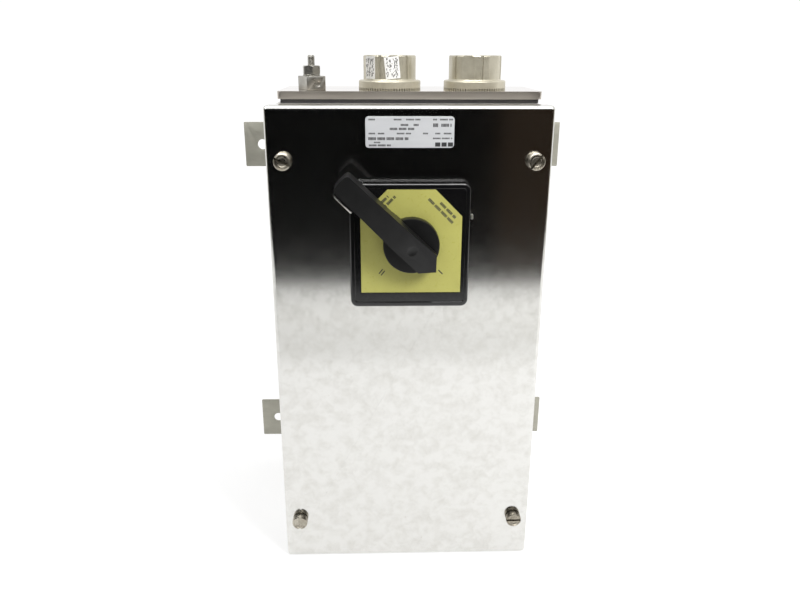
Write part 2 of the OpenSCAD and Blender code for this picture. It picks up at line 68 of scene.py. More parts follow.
def stage_plane(name, size, place, turn, colour, glow):
    """Adds a flat stage piece with one plain colour or a plain glow."""
    bpy.ops.object.select_all(action="DESELECT")
    bpy.ops.mesh.primitive_plane_add(size=1, location=place, rotation=turn)
    plane = bpy.context.object
    plane.name = name
    plane.scale = (size[0], size[1], 1)
    material = bpy.data.materials.new(name)
    material.use_nodes = True
    shader = material.node_tree.nodes["Principled BSDF"]
    shader.inputs["Base Color"].default_value = (*colour, 1)
    shader.inputs["Roughness"].default_value = 0.9
    shader.inputs["Specular IOR Level"].default_value = 0.0
    shader.inputs["Emission Color"].default_value = (*colour, 1)
    shader.inputs["Emission Strength"].default_value = glow
    plane.data.materials.append(material)
    return plane


stage_plane("floor", (14, 14), (0, 0, FLOOR_Z - 0.0003), (0, 0, 0), (0.50, 0.50, 0.50), 1.16)
stage_plane("far_table", (2.8, 2.0), (0, -1.60, FLOOR_Z), (0, 0, 0), (0.50, 0.50, 0.495), 0.75)
for name, left, right, tone in (("dark_room", -1.4, 0.17, (0.002, 0.002, 0.002)),
                                ("brown_room", 0.17, 1.5, (0.022, 0.015, 0.010))):
    middle = ((left + right) / 2, ROOM_Y, (ROOM_LOW + ROOM_HIGH) / 2)
    card = stage_plane(name, (right - left, ROOM_HIGH - ROOM_LOW), middle, (math.pi / 2, 0, 0), tone, 0.0)
    card.visible_camera = False
    card.visible_shadow = False
for name, side, tone in (("left_room", -1.0, (0.045, 0.045, 0.030)),
                         ("right_room", 1.0, (0.10, 0.085, 0.06))):
    card = stage_plane(name, (0.58, 0.62), (side, ROOM_Y + 0.25, 0.16), (math.pi / 2, 0, math.pi / 2),
                       tone, 0.0)
    card.visible_camera = False
    card.visible_diffuse = False
    card.visible_shadow = False

world = bpy.data.worlds.new("white_room")
world.use_nodes = True
world.node_tree.nodes["Background"].inputs["Color"].default_value = (1.0, 1.0, 1.0, 1)
world.node_tree.nodes["Background"].inputs["Strength"].default_value = 1.03
bpy.context.scene.world = world
bpy.context.scene.view_settings.view_transform = "Standard"

key_data = bpy.data.lights.new("key", "AREA")
key_data.size = 0.45
key_data.energy = 12
key = bpy.data.objects.new("key", key_data)
key.location = (0.7, FACE_Y - 0.7, 0.75)
key.rotation_euler = (Vector((0, FACE_Y, 0.1)) - key.location).to_track_quat("-Z", "Y").to_euler()
key.visible_glossy = False
bpy.context.scene.collection.objects.link(key)
strip_data = bpy.data.lights.new("strip", "AREA")
strip_data.shape = "RECTANGLE"
strip_data.size = 1.1
strip_data.size_y = 0.30
strip_data.energy = 13
strip = bpy.data.objects.new("strip", strip_data)
strip.visible_diffuse = False
strip.location = (-0.1, FACE_Y - 0.28, 0.95)
strip.rotation_euler = (Vector((-0.1, FACE_Y, 0.12)) - strip.location).to_track_quat("-Z", "Y").to_euler()
bpy.context.scene.collection.objects.link(strip)

# ---- Enclosure body ----
# One pan of 1.5 mm bright stainless sheet, folded and welded at the corners. A flange turns in
# along the front, and its inner edge stands up to press on the cover's gasket.
SHEET = 0.0015
BODY_HALF_W = 0.105
BODY_HALF_H = 0.1935
BODY_BACK_Y = -0.002
RIM_Y = -0.152
RIM_W = 0.020
RIM_UP = 0.011
FOLD_R = 0.003
GLAND_CUT = ((-0.0895, -0.1155, 0.186), (0.0925, -0.0475, 0.200))


def only(piece):
    """Selects this piece alone and makes it the active one."""
    bpy.ops.object.select_all(action="DESELECT")
    piece.select_set(True)
    bpy.context.view_layer.objects.active = piece


def settle(piece):
    """Puts a piece's place, turn and size into its mesh."""
    only(piece)
    bpy.ops.object.transform_apply(location=True, rotation=True, scale=True)


def block(name, low, high):
    """Starts a piece as a block between two corners."""
    bpy.ops.object.select_all(action="DESELECT")
    middle = [(a + b) / 2 for a, b in zip(low, high)]
    bpy.ops.mesh.primitive_cube_add(size=1, location=middle)
    piece = bpy.context.object
    piece.name = name
    piece.scale = [b - a for a, b in zip(low, high)]
    settle(piece)
    return piece


def open_up(piece):
    """Goes into edit mode on one piece with nothing selected."""
    only(piece)
    bpy.ops.object.mode_set(mode="EDIT")
    bpy.ops.mesh.select_all(action="DESELECT")


def close_up():
    """Leaves edit mode."""
    bpy.ops.object.mode_set(mode="OBJECT")


def pick(kind, test):
    """Selects the faces or edges whose middle and direction pass the test."""
    bpy.ops.mesh.select_mode(type=kind)
    bpy.ops.mesh.select_all(action="DESELECT")
    mesh = bmesh.from_edit_mesh(bpy.context.object.data)
    for part in {"FACE": mesh.faces, "EDGE": mesh.edges}[kind]:
        if kind == "FACE":
            where = part.calc_center_median()
            way = part.normal
        else:
            where = (part.verts[0].co + part.verts[1].co) / 2
            way = (part.verts[1].co - part.verts[0].co).normalized()
        if test(where, way):
            part.select_set(True)
    mesh.select_flush_mode()
    bmesh.update_edit_mesh(bpy.context.object.data)


def work(piece, kind, **settings):
    """Adds a modifier with these settings and applies it."""
    modifier = piece.modifiers.new(kind.lower(), kind)
    for key_name, value in settings.items():
        setattr(modifier, key_name, value)
    only(piece)
    bpy.ops.object.modifier_apply(modifier=modifier.name)


def smooth(piece, angle=32):
    """Shades a piece smooth across its small turns and sharp across its edges."""
    only(piece)
    bpy.ops.object.shade_smooth_by_angle(angle=math.radians(angle))


def steady(piece):
    """Keeps the shading of flat faces flat beside their rounded edges."""
    work(piece, "WEIGHTED_NORMAL", keep_sharp=True, weight=80)


def cut(piece, *tools):
    """Cuts the tools' shapes out of a piece and throws the tools away."""
    for tool in tools:
        work(piece, "BOOLEAN", operation="DIFFERENCE", solver="EXACT", object=tool)
        bpy.data.objects.remove(tool)


def add_node(tree, kind, **sockets):
    """Adds a shader node and sets its named sockets."""
    node = tree.nodes.new(kind)
    for socket, value in sockets.items():
        node.inputs[socket.replace("_", " ")].default_value = value
    return node


def hand_in(piece, body, slot, material, *replaced):
    """Gives a finished piece its material and its body, and hides the CAD nodes it stands for. The slot is
    not used.
    """
    piece.data.materials.clear()
    piece.data.materials.append(material)
    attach(piece, body)
    if replaced:
        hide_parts(*replaced)


def bright_sheet(name, stain, rough):
    """Polished stainless sheet: nearly a mirror, gently wavy, with wiped stains and fine scuffs."""
    material = bpy.data.materials.new(name)
    material.use_nodes = True
    tree = material.node_tree
    link = tree.links.new
    shader = tree.nodes["Principled BSDF"]
    shader.inputs["Metallic"].default_value = 1.0
    place = tree.nodes.new("ShaderNodeTexCoord")
    waves = add_node(tree, "ShaderNodeTexNoise", Scale=7.0, Detail=2.0, Roughness=0.4)
    cloud = add_node(tree, "ShaderNodeTexNoise", Scale=125.0, Detail=6.0, Roughness=0.6, Distortion=0.3)
    specks = add_node(tree, "ShaderNodeTexNoise", Scale=420.0, Detail=3.0, Roughness=0.5)
    drawn = add_node(tree, "ShaderNodeMapping", Scale=(900.0, 900.0, 14.0))
    lines = add_node(tree, "ShaderNodeTexNoise", Scale=1.0, Detail=3.0, Roughness=0.6)
    for noise in (waves, cloud, specks):
        link(place.outputs["Object"], noise.inputs["Vector"])
    link(place.outputs["Object"], drawn.inputs["Vector"])
    link(drawn.outputs["Vector"], lines.inputs["Vector"])
    ramp = tree.nodes.new("ShaderNodeValToRGB")
    ramp.color_ramp.elements[0].position = 0.42
    ramp.color_ramp.elements[0].color = (0.725, 0.72, 0.695, 1)
    ramp.color_ramp.elements[1].position = 0.80
    ramp.color_ramp.elements[1].color = (0.725 - stain, 0.715 - stain, 0.68 - stain, 1)
    link(cloud.outputs["Fac"], ramp.inputs["Fac"])
    dots = tree.nodes.new("ShaderNodeValToRGB")
    dots.color_ramp.elements[0].position = 0.70
    dots.color_ramp.elements[0].color = (1, 1, 1, 1)
    dots.color_ramp.elements[1].position = 0.76
    dots.color_ramp.elements[1].color = (0.80, 0.77, 0.72, 1)
    link(specks.outputs["Fac"], dots.inputs["Fac"])
    blend = tree.nodes.new("ShaderNodeMix")
    blend.data_type = "RGBA"
    blend.blend_type = "MULTIPLY"
    blend.inputs[0].default_value = 1.0
    link(ramp.outputs["Color"], blend.inputs[6])
    link(dots.outputs["Color"], blend.inputs[7])
    link(blend.outputs[2], shader.inputs["Base Color"])
    level = tree.nodes.new("ShaderNodeMapRange")
    level.inputs["From Min"].default_value = 0.35
    level.inputs["From Max"].default_value = 0.75
    level.inputs["To Min"].default_value = rough
    level.inputs["To Max"].default_value = rough + 0.035
    link(cloud.outputs["Fac"], level.inputs["Value"])
    link(level.outputs["Result"], shader.inputs["Roughness"])
    wavy = add_node(tree, "ShaderNodeBump", Strength=0.2, Distance=0.0004)
    link(waves.outputs["Fac"], wavy.inputs["Height"])
    scuffed = add_node(tree, "ShaderNodeBump", Strength=0.05, Distance=0.00005)
    link(lines.outputs["Fac"], scuffed.inputs["Height"])
    link(wavy.outputs["Normal"], scuffed.inputs["Normal"])
    link(scuffed.outputs["Normal"], shader.inputs["Normal"])
    return material


body_steel = bright_sheet("body_sheet", 0.10, 0.34)

pan = block("enclosure_pan", (-BODY_HALF_W, RIM_Y, -BODY_HALF_H), (BODY_HALF_W, BODY_BACK_Y, BODY_HALF_H))
open_up(pan)
pick("EDGE", lambda where, way: abs(way.y) > 0.99)
bpy.ops.mesh.bevel(offset=FOLD_R, segments=4, affect="EDGES")
pick("EDGE", lambda where, way: where.y > BODY_BACK_Y - 1e-5 and abs(way.y) < 0.01)
bpy.ops.mesh.bevel(offset=FOLD_R * 0.8, segments=3, affect="EDGES")
close_up()

# The room inside is cut away, the upstand is added, and the mouth is cut through both.
room = block("room", (SHEET - BODY_HALF_W, RIM_Y + SHEET, SHEET - BODY_HALF_H),
             (BODY_HALF_W - SHEET, BODY_BACK_Y - SHEET, BODY_HALF_H - SHEET))
open_up(room)
pick("EDGE", lambda where, way: abs(way.y) > 0.99)
bpy.ops.mesh.bevel(offset=FOLD_R - SHEET, segments=3, affect="EDGES")
close_up()
LIP_W = BODY_HALF_W - RIM_W
LIP_H = BODY_HALF_H - RIM_W
mouth = block("mouth", (SHEET - LIP_W, RIM_Y - 0.02, SHEET - LIP_H),
              (LIP_W - SHEET, RIM_Y + 0.02, LIP_H - SHEET))
lip = block("lip", (-LIP_W, RIM_Y - RIM_UP, -LIP_H), (LIP_W, RIM_Y + SHEET / 2, LIP_H))
cut(pan, room)
work(pan, "BOOLEAN", operation="UNION", solver="EXACT", object=lip)
bpy.data.objects.remove(lip)
cut(pan, mouth, block("gland_opening", *GLAND_CUT))
smooth(pan)
steady(pan)
hand_in(pan, "enclosure", "stainless_sheet", body_steel, "enclosure_body")

# ---- Wall feet ----
# Four flat lugs of 2 mm stainless, sheared, with a 9.5 mm hole each, lap welded to the back
# so that they reach out past the sides.


def ease(piece, width, segments=2, angle=35):
    """Rounds every edge sharper than the angle."""
    work(piece, "BEVEL", width=width, segments=segments, limit_method="ANGLE",
         angle_limit=math.radians(angle))
    smooth(piece)


def finish(name, colour, shade, metal, rough, grain, bump, stretch=(1, 1, 1), spread=0.08):
    """Makes a finish whose colour wanders to its shade, with a fine grain in its gloss and relief."""
    material = bpy.data.materials.new(name)
    material.use_nodes = True
    tree = material.node_tree
    shader = tree.nodes["Principled BSDF"]
    shader.inputs["Metallic"].default_value = metal
    place = tree.nodes.new("ShaderNodeTexCoord")
    scale = add_node(tree, "ShaderNodeMapping", Scale=stretch)
    tree.links.new(place.outputs["Object"], scale.inputs["Vector"])
    cloud = add_node(tree, "ShaderNodeTexNoise", Scale=grain * 0.12, Detail=4.0, Roughness=0.6)
    fine = add_node(tree, "ShaderNodeTexNoise", Scale=grain, Detail=6.0, Roughness=0.65)
    for noise in (cloud, fine):
        tree.links.new(scale.outputs["Vector"], noise.inputs["Vector"])
    ramp = tree.nodes.new("ShaderNodeValToRGB")
    ramp.color_ramp.elements[0].position = 0.35
    ramp.color_ramp.elements[0].color = (*colour, 1)
    ramp.color_ramp.elements[1].position = 0.70
    ramp.color_ramp.elements[1].color = (*shade, 1)
    tree.links.new(cloud.outputs["Fac"], ramp.inputs["Fac"])
    tree.links.new(ramp.outputs["Color"], shader.inputs["Base Color"])
    level = tree.nodes.new("ShaderNodeMapRange")
    level.inputs["From Min"].default_value = 0.3
    level.inputs["From Max"].default_value = 0.7
    level.inputs["To Min"].default_value = rough - spread
    level.inputs["To Max"].default_value = rough + spread
    tree.links.new(fine.outputs["Fac"], level.inputs["Value"])
    tree.links.new(level.outputs["Result"], shader.inputs["Roughness"])
    relief = add_node(tree, "ShaderNodeBump", Strength=bump, Distance=0.0002)
    tree.links.new(fine.outputs["Fac"], relief.inputs["Height"])
    tree.links.new(relief.outputs["Normal"], shader.inputs["Normal"])
    return material


foot_steel = finish("foot_steel", (0.44, 0.43, 0.365), (0.37, 0.36, 0.305), 0.45, 0.50, 260, 0.08,
                    (1, 1, 3))
foot_low, foot_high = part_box("foot_upper_right")
HOLE_X = 0.1345
HOLE_R = 0.00475

foot = block("wall_foot", foot_low, foot_high)
open_up(foot)
pick("EDGE", lambda where, way: abs(way.y) > 0.99)
bpy.ops.mesh.bevel(offset=0.001, segments=3, affect="EDGES")
close_up()
bpy.ops.object.select_all(action="DESELECT")
bpy.ops.mesh.primitive_cylinder_add(vertices=48, radius=HOLE_R, depth=0.01, rotation=(math.pi / 2, 0, 0),
                                    location=(HOLE_X, 0, (foot_low.z + foot_high.z) / 2))
cut(foot, bpy.context.object)
ease(foot, 0.0003)


def copy_of(piece, name):
    """Copies a piece with a mesh of its own."""
    twin = piece.copy()
    twin.data = piece.data.copy()
    twin.name = name
    bpy.context.scene.collection.objects.link(twin)
    return twin


def turn_over(piece):
    """Turns a mirrored piece's faces outwards again."""
    settle(piece)
    open_up(piece)
    bpy.ops.mesh.select_all(action="SELECT")
    bpy.ops.mesh.normals_make_consistent(inside=False)
    close_up()


for corner, side, level in (("upper_left", -1, 1), ("lower_left", -1, -1), ("lower_right", 1, -1)):
    twin = copy_of(foot, "wall_foot_" + corner)
    twin.scale = (side, 1, level)
    turn_over(twin)
    hand_in(twin, "enclosure", "stainless_sheet", foot_steel, "foot_" + corner)
foot.name = "wall_foot_upper_right"
hand_in(foot, "enclosure", "stainless_sheet", foot_steel, "foot_upper_right")

# ---- Cover bosses ----
# Round tapped bosses of turned stainless, welded through the front flange for the cover screws.


def dress(node, material, edge=0.0):
    """Gives a CAD node a finish, and rounds its edges if it has an edge radius."""
    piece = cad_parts[node]
    if not piece.material_slots:
        piece.data.materials.append(material)
    piece.material_slots[0].material = material
    if edge:
        weld = piece.modifiers.new("weld", "WELD")
        weld.merge_threshold = 0.00001
        flat = piece.modifiers.new("flat", "DECIMATE")
        flat.decimate_type = "DISSOLVE"
        flat.angle_limit = math.radians(1)
        soft = piece.modifiers.new("soft", "BEVEL")
        soft.width = edge
        soft.segments = 2
        soft.limit_method = "ANGLE"
        soft.angle_limit = math.radians(40)


turned_steel = finish("turned_steel", (0.60, 0.585, 0.55), (0.44, 0.42, 0.38), 1.0, 0.32, 520, 0.10)
dress("cover_bosses", turned_steel, 0.0003)

# ---- Gland plate ----
# A 6 mm plate of brushed stainless with a rubber gasket under it, held from inside by six
# welded studs and nuts. Its top is polished and its edges are dull.
gasket_rubber = finish("gasket_rubber", (0.020, 0.020, 0.021), (0.034, 0.032, 0.030), 0.0, 0.62, 900,
                       0.25)
plate_steel = finish("plate_steel", (0.66, 0.61, 0.55), (0.46, 0.42, 0.37), 1.0, 0.42, 240, 0.02,
                     (0.25, 2, 4))

# The finish is given a polish wherever it faces up.
tree = plate_steel.node_tree
facing = tree.nodes.new("ShaderNodeTexCoord")
upward = tree.nodes.new("ShaderNodeSeparateXYZ")
tree.links.new(facing.outputs["Normal"], upward.inputs["Vector"])
polish = tree.nodes.new("ShaderNodeMapRange")
polish.inputs["From Min"].default_value = 0.5
polish.inputs["From Max"].default_value = 0.9
polish.inputs["To Min"].default_value = 0.36
polish.inputs["To Max"].default_value = 0.06
tree.links.new(upward.outputs["Z"], polish.inputs["Value"])
tree.links.new(polish.outputs["Result"], tree.nodes["Principled BSDF"].inputs["Roughness"])
dress("gland_gasket", gasket_rubber, 0.0003)
dress("gland_plate", plate_steel, 0.0005)
dress("gland_plate_studs", turned_steel, 0.0002)
dress("gland_plate_nuts", turned_steel, 0.0003)

# ---- Conduit hubs ----
# Zinc die-cast hubs: a toothed collar seals on the plate, six flats and six grooves give the
# spanner its hold, and the mouth has a conduit thread. A locknut holds each from below.
PLATE_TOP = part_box("gland_plate")[1].z
HUB_Y = (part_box("hub_left")[0].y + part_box("hub_left")[1].y) / 2
HUB_XS = (-0.0135, 0.0575)
HUB_STEPS = 144
hub_zinc = finish("hub_zinc", (0.58, 0.55, 0.45), (0.43, 0.40, 0.31), 0.65, 0.42, 420, 0.16, spread=0.06)


def lathe(name, profile, centre, axis, steps=64, closed=True):
    """Turns a profile of (radius, height) millimetre pairs round an axis through the centre."""
    points = [Vector(centre) + Vector((r / 1000, 0, 0)) + Vector(axis) * (h / 1000) for r, h in profile]
    edges = [(i, i + 1) for i in range(len(points) - 1)]
    if closed:
        edges.append((len(points) - 1, 0))
    mesh = bpy.data.meshes.new(name)
    mesh.from_pydata(points, edges, [])
    piece = bpy.data.objects.new(name, mesh)
    bpy.context.scene.collection.objects.link(piece)
    open_up(piece)
    bpy.ops.mesh.select_all(action="SELECT")
    bpy.ops.mesh.spin(steps=steps, angle=2 * math.pi, center=centre, axis=axis)
    bpy.ops.mesh.select_all(action="SELECT")
    bpy.ops.mesh.remove_doubles(threshold=0.000004)
    bpy.ops.mesh.normals_make_consistent(inside=False)
    close_up()
    return piece


def thread(radius, depth, start, end, pitch):
    """Gives the zigzag of a thread as (radius, height) pairs."""
    turns = int(round(abs(end - start) / pitch))
    step = (end - start) / turns
    pairs = []
    for i in range(turns):
        pairs.append((radius, start + step * (i + 0.08)))
        pairs.append((radius + depth, start + step * (i + 0.45)))
        pairs.append((radius + depth, start + step * (i + 0.58)))
        pairs.append((radius, start + step * (i + 0.95)))
    return pairs


hub_profile = [(13.5, -16), (13.5, 7), (15.9, 7)]
hub_profile += thread(15.9, 0.9, 7.4, 25.2, 2.2)
hub_profile += [(16.4, 25.4), (17.3, 26.4), (17.7, 26.5), (20.5, 26.5), (21.2, 26.25), (21.6, 25.6)]
hub_profile += [(21.6, 7.9), (21.9, 7.3), (22.6, 7.0), (24.7, 6.9), (25.4, 6.6), (25.7, 6.0)]
hub_profile += [(25.7, 1.1), (25.7, 0.1)]
hub_profile += [(25.6, 0), (16.5, 0), (16.5, -15.2), (15.8, -16)]
hub = lathe("hub", hub_profile, (0, 0, 0), (0, 0, 1), HUB_STEPS)
open_up(hub)
TOOTH_H = 0.0006
TOOTH_DEPTH = 0.0026
FLAT_FROM = 0.0078  # the flats and grooves start just above the collar


def is_gap(where, way):
    """True for every other face of the toothed band round the collar."""
    if abs(where.z - TOOTH_H) > 0.0002 or where.xy.length < 0.0252:
        return False
    turn = math.atan2(where.y, where.x) / (2 * math.pi)
    return int(round(turn * HUB_STEPS - 0.5)) % 2 == 0


pick("FACE", is_gap)
bpy.ops.mesh.extrude_region_shrink_fatten(TRANSFORM_OT_shrink_fatten={"value": -TOOTH_DEPTH})
close_up()
for i in range(6):
    flat = block("flat", (0.0210, -0.0075, FLAT_FROM), (0.026, 0.0075, 0.03))
    flat.rotation_euler.z = math.radians(42 + 60 * i)
    settle(flat)
    groove = block("groove", (0.0209, -0.0012, FLAT_FROM), (0.026, 0.0012, 0.03))
    groove.rotation_euler.z = math.radians(12 + 60 * i)
    settle(groove)
    cut(hub, flat, groove)
smooth(hub, 24)
for name, x, turned in (("left", HUB_XS[0], -4), ("right", HUB_XS[1], 26)):
    twin = copy_of(hub, "conduit_hub_" + name)
    twin.rotation_euler.z = math.radians(turned)
    twin.location = (x, HUB_Y, PLATE_TOP)
    settle(twin)
    hand_in(twin, "enclosure", "hub_zinc", hub_zinc, "hub_" + name)
bpy.data.objects.remove(hub)
dress("hub_seals", gasket_rubber, 0.0003)
dress("hub_locknuts", hub_zinc, 0.0006)

# ---- Hub stickers ----
# Two white paper stickers stuck on the left hub's side, the second at a slant. Both are
# covered in short printed strokes.
sticker_paper = finish("sticker_paper", (0.86, 0.86, 0.84), (0.74, 0.74, 0.72), 0.0, 0.55, 900, 0.08)
sticker_ink = finish("sticker_ink", (0.13, 0.13, 0.13), (0.22, 0.22, 0.21), 0.0, 0.60, 900, 0.05)


def wrap(name, angle, width, z, height, tilt, radius, steps=10):
    """Lays a small sheet on the left hub: angle in degrees from the front, sizes in millimetres."""
    bpy.ops.object.select_all(action="DESELECT")
    bpy.ops.mesh.primitive_grid_add(x_subdivisions=steps, y_subdivisions=2, size=1, location=(0, 0, 0))
    sheet = bpy.context.object
    sheet.name = name
    for point in sheet.data.vertices:
        across = point.co.x * width
        up = point.co.y * height
        turned = math.radians(tilt)
        a = (across * math.cos(turned) - up * math.sin(turned)) / radius + math.radians(angle)
        rise = across * math.sin(turned) + up * math.cos(turned)
        point.co = ((HUB_XS[0] * 1000 + radius * math.sin(a)) / 1000,
                    (HUB_Y * 1000 - radius * math.cos(a)) / 1000, PLATE_TOP + (z + rise) / 1000)
    work(sheet, "SOLIDIFY", thickness=0.00012, offset=1)
    smooth(sheet)
    return sheet


def join(pieces, name):
    """Joins pieces into one."""
    only(pieces[0])
    for piece in pieces[1:]:
        piece.select_set(True)
    bpy.ops.object.join()
    pieces[0].name = name
    return pieces[0]


PAPER_R = 21.66  # this and the next two are in millimetres
INK_R = 21.80
STICKER_MID = 17.0
stamp = wrap("hub_stamp", -49, 11.5, STICKER_MID, 17.5, 0, PAPER_R)
slip = wrap("hub_slip", 5, 12.0, STICKER_MID, 17.0, 6, PAPER_R)
hand_in(stamp, "enclosure", "label_aluminium", sticker_paper)
hand_in(slip, "enclosure", "label_aluminium", sticker_paper)
strokes = []
random.seed(4)
for centre, width, turned in ((-49, 9.0, 0), (5, 9.6, 6)):
    for i in range(80):
        across = random.uniform(-0.5, 0.5) * width
        up = STICKER_MID + random.uniform(-7.2, 7.2)
        tall = random.uniform(0.5, 1.7)
        place = centre + math.degrees(across / INK_R)
        strokes.append(wrap("stroke", place, 0.5, up, tall, turned, INK_R, 2))
hub_print = join(strokes, "hub_print")
hand_in(hub_print, "enclosure", "black_plastic", sticker_ink)

# ---- Earth terminal ----
# A square clamp block on an M6 stainless stud, with a washer and a hexagon nut above it and a
# smaller nut inside. The stud's thread runs free above the nut.
EARTH = ((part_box("earth_stud")[0].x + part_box("earth_stud")[1].x) / 2,
         (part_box("earth_stud")[0].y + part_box("earth_stud")[1].y) / 2, PLATE_TOP)
earth_steel = finish("earth_steel", (0.50, 0.49, 0.45), (0.28, 0.265, 0.235), 1.0, 0.33, 480, 0.25)
CLAMP_W = 0.0085
CLAMP_H = 0.0105
WASHER_T = 0.0012
clamp = block("earth_clamp_block", (-CLAMP_W, -CLAMP_W, 0), (CLAMP_W, CLAMP_W, CLAMP_H))
open_up(clamp)
pick("EDGE", lambda where, way: abs(way.z) > 0.99)
bpy.ops.mesh.bevel(offset=0.0012, segments=3, affect="EDGES")
close_up()
bpy.ops.object.select_all(action="DESELECT")
bpy.ops.mesh.primitive_cylinder_add(vertices=40, radius=0.0023, depth=0.0012,
                                    location=(0.0012, -CLAMP_W, 0.0046), rotation=(math.pi / 2, 0, 0))
cut(clamp, bpy.context.object)
ease(clamp, 0.0005)
clamp.rotation_euler.z = math.radians(32)
clamp.location = EARTH
settle(clamp)
hand_in(clamp, "enclosure", "machined_steel", earth_steel, "earth_block")

washer = lathe("earth_flat_washer", [(3.2, 0), (3.2, 1.2), (6.6, 1.2), (7.0, 0.9), (7.0, 0.3), (6.7, 0)],
               (EARTH[0], EARTH[1], PLATE_TOP + CLAMP_H), (0, 0, 1), 48)
smooth(washer)
hand_in(washer, "enclosure", "machined_steel", earth_steel, "earth_washer")


def hex_nut(name, across, height, bore):
    """Makes a hexagon nut with both rims chamfered, standing on the origin; sizes in millimetres."""
    bpy.ops.object.select_all(action="DESELECT")
    bpy.ops.mesh.primitive_cylinder_add(vertices=6, radius=across / 2000 / math.cos(math.pi / 6),
                                        depth=height / 1000, location=(0, 0, height / 2000))
    nut = bpy.context.object
    nut.name = name
    settle(nut)
    corner = across / 2 / math.cos(math.pi / 6)
    crown_profile = [(0, -1), (corner - 1.1, -0.001), (corner + 0.2, 1.0), (corner + 0.2, height - 1.0),
                     (corner - 1.1, height), (0, height + 1)]
    crown = lathe("crown", crown_profile, (0, 0, 0), (0, 0, 1), 64, False)
    work(nut, "BOOLEAN", operation="INTERSECT", solver="EXACT", object=crown)
    bpy.data.objects.remove(crown)
    bore_profile = [(0, -1), (bore, -1), (bore, height + 1), (0, height + 1)]
    cut(nut, lathe("bore", bore_profile, (0, 0, 0), (0, 0, 1), 40, False))
    smooth(nut, 20)
    return nut


nut = hex_nut("earth_hex_nut", 13, 6.8, 3.2)
nut.rotation_euler.z = math.radians(12)
nut.location = (EARTH[0], EARTH[1], PLATE_TOP + CLAMP_H + WASHER_T)
settle(nut)
hand_in(nut, "enclosure", "machined_steel", earth_steel, "earth_nut")
inner_nut = hex_nut("earth_lock_nut", 10, 5, 3.2)
inner_nut.location = (EARTH[0], EARTH[1], PLATE_TOP - 0.011)
settle(inner_nut)
hand_in(inner_nut, "enclosure", "machined_steel", earth_steel, "earth_inner_nut")

stud_profile = [(0, -15), (2.5, -15), (3.0, -14.5), (3.2, -14.3), (3.2, 18.4)]
stud_profile += thread(2.60, 0.4, 18.5, 25.6, 1.0)
stud_profile += [(2.6, 26.0), (2.1, 26.5), (0, 26.5)]
stud = lathe("earth_threaded_stud", stud_profile, EARTH, (0, 0, 1), 40, False)
smooth(stud, 20)
hand_in(stud, "enclosure", "machined_steel", earth_steel, "earth_stud")

# ---- Mounting rails ----
# Two lengths of plated 35 mm top-hat rail, each screwed to two spacers on the back panel.
rail_zinc = finish("rail_zinc", (0.62, 0.64, 0.66), (0.50, 0.52, 0.53), 1.0, 0.33, 300, 0.10, (0.3, 2, 2))
dress("rail_standoffs", turned_steel, 0.0003)
dress("rail_screws", turned_steel, 0.0003)
dress("upper_rail", rail_zinc, 0.0002)
dress("lower_rail", rail_zinc, 0.0002)

# ---- Rotary switch ----
# A stacked cam switch: a base that clips on the rail, three moulded contact decks and a front
# plate on four tie screws. Brass strips and bridges carry the current, a cam rotor lifts them.
deck_grey = finish("deck_grey", (0.20, 0.205, 0.21), (0.25, 0.25, 0.25), 0.0, 0.48, 700, 0.15)
base_grey = finish("base_grey", (0.12, 0.125, 0.13), (0.16, 0.16, 0.16), 0.0, 0.50, 700, 0.15)
cam_cream = finish("cam_cream", (0.70, 0.66, 0.52), (0.63, 0.58, 0.44), 0.0, 0.42, 800, 0.08)
contact_brass = finish("contact_brass", (0.72, 0.52, 0.22), (0.58, 0.40, 0.16), 1.0, 0.30, 500, 0.10)
for node in ("switch_deck_1", "switch_deck_2", "switch_deck_3", "switch_front_plate"):
    dress(node, deck_grey, 0.0006)
dress("switch_base", base_grey, 0.0006)
dress("tie_screws", turned_steel, 0.0003)
dress("fixed_contacts", contact_brass, 0.0002)
dress("contact_screws", turned_steel, 0.0003)
dress("cam_rotor", cam_cream, 0.0003)
dress("upper_plungers", cam_cream, 0.0003)
dress("lower_plungers", cam_cream, 0.0003)
dress("upper_bridges", contact_brass, 0.0002)
dress("lower_bridges", contact_brass, 0.0002)
spring_steel = finish("spring_steel", (0.55, 0.56, 0.58), (0.20, 0.20, 0.21), 1.0, 0.30, 1500, 0.5,
                      (0.1, 0.1, 3))
dress("upper_springs", spring_steel)
dress("lower_springs", spring_steel)

# ---- Terminal blocks ----
# Four beige feed-through terminals and a green earth terminal snapped on the lower rail, with
# a steel clamp screw at each end, between two grey end clamps.
terminal_beige = finish("terminal_beige", (0.66, 0.60, 0.45), (0.58, 0.52, 0.38), 0.0, 0.45, 700, 0.10)
terminal_green = finish("terminal_green", (0.25, 0.42, 0.06), (0.42, 0.44, 0.07), 0.0, 0.45, 260, 0.10)
for i in range(1, 5):
    dress("terminal_" + str(i), terminal_beige, 0.0004)
dress("earth_terminal", terminal_green, 0.0004)
dress("terminal_screws", turned_steel, 0.0003)
dress("end_clamps", deck_grey, 0.0006)

# ---- Cover ----
# One tray of the same polished sheet, folded on four sides with welded corners. It drops over
# the body's rim on a rubber gasket and is held by four captive screws.
cover_low, cover_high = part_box("cover_shell")
cover_steel = bright_sheet("cover_sheet", 0.11, 0.115)
KNOB = Vector((0.001, FACE_Y, 0.096))
SCREW_XS = (-0.0935, 0.0935)
SCREW_ZS = (0.1554, -0.1564)
SHANK_R = 2.95  # this and the next are in millimetres
BUSH_R = 11

